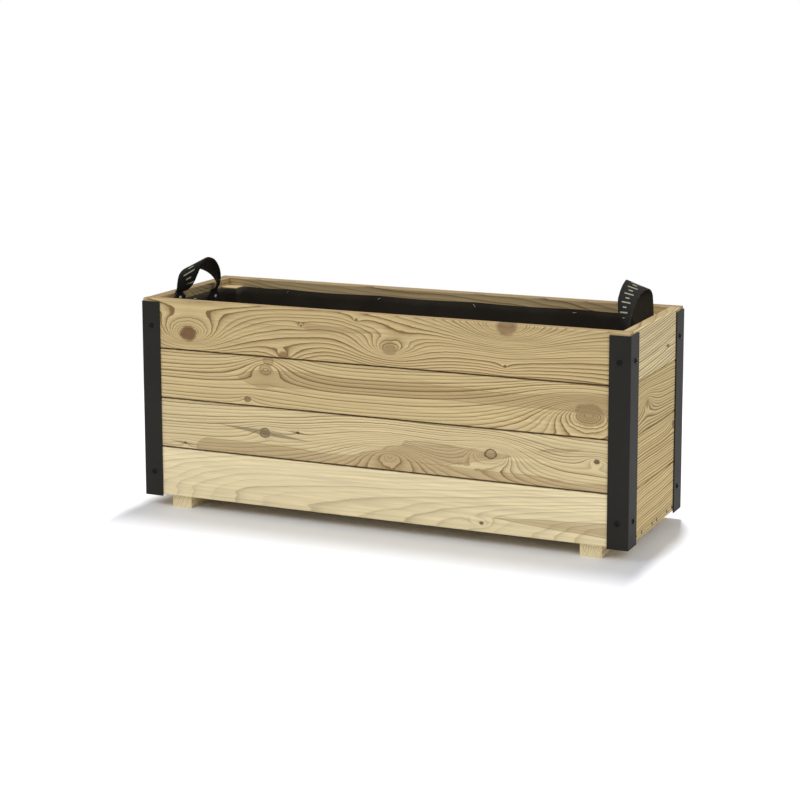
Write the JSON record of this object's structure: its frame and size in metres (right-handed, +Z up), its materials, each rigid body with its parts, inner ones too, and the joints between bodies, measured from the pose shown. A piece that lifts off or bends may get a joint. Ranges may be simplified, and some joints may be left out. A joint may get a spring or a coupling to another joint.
{
  "type": "rectangular planter",
  "caption": "Long rectangular timber planter box of stacked pine boards with steel corner angles, an inner liner, cross feet and webbing carrying handles.",
  "frame": {"origin": "on the ground, under the middle of the box", "axes": "+X along the length, -Y towards the front, +Z up"},
  "size_m": [0.9054, 0.3054, 0.4353],
  "materials": {
    "pine": "planed, impregnated, unvarnished",
    "coated_steel": "matte anthracite powder coat",
    "screw_black": "black coated steel",
    "webbing": "woven webbing",
    "liner": "black felt-like liner",
    "zinc": "zinc plated"
  },
  "bodies": {
    "box": {"back_board_1": "pine", "back_board_2": "pine", "back_board_3": "pine", "back_board_4": "pine", "corner_angle_back_left": "coated_steel", "corner_angle_back_right": "coated_steel", "corner_angle_front_left": "coated_steel", "corner_angle_front_right": "coated_steel", "corner_post_back_left": "pine", "corner_post_back_right": "pine", "corner_post_front_left": "pine", "corner_post_front_right": "pine", "floor_board_back": "pine", "floor_board_front": "pine", "floor_board_middle": "pine", "foot_left": "pine", "foot_right": "pine", "front_board_1": "pine", "front_board_2": "pine", "front_board_3": "pine", "front_board_4": "pine", "left_end_board_1": "pine", "left_end_board_2": "pine", "left_end_board_3": "pine", "left_end_board_4": "pine", "liner": "liner", "right_end_board_1": "pine", "right_end_board_2": "pine", "right_end_board_3": "pine", "right_end_board_4": "pine", "screw_back_left_end_high": "screw_black", "screw_back_left_end_low": "screw_black", "screw_back_left_long_high": "screw_black", "screw_back_left_long_low": "screw_black", "screw_back_right_end_high": "screw_black", "screw_back_right_end_low": "screw_black", "screw_back_right_long_high": "screw_black", "screw_back_right_long_low": "screw_black", "screw_front_left_end_high": "screw_black", "screw_front_left_end_low": "screw_black", "screw_front_left_long_high": "screw_black", "screw_front_left_long_low": "screw_black", "screw_front_right_end_high": "screw_black", "screw_front_right_end_low": "screw_black", "screw_front_right_long_high": "screw_black", "screw_front_right_long_low": "screw_black", "strap_end_left_front": "webbing", "strap_end_left_rear": "webbing", "strap_end_right_front": "webbing", "strap_end_right_rear": "webbing", "strap_screw_left_front": "zinc", "strap_screw_left_rear": "zinc", "strap_screw_right_front": "zinc", "strap_screw_right_rear": "zinc"},
    "left_handle": {"handle_left": "webbing"},
    "right_handle": {"handle_right": "webbing"}
  },
  "joints": [
    {"name": "left_handle_swing", "type": "hinge", "parent": "box", "child": "left_handle", "pos_m": [-0.4258, 0.0015, 0.3781], "axis": [0, 1, 0], "range_deg": [-65, 60], "stiffness_Nm_per_rad": 0.1},
    {"name": "right_handle_swing", "type": "hinge", "parent": "box", "child": "right_handle", "pos_m": [0.4258, -0.008, 0.3781], "axis": [0, -1, 0], "range_deg": [-65, 60], "stiffness_Nm_per_rad": 0.1}
  ]
}
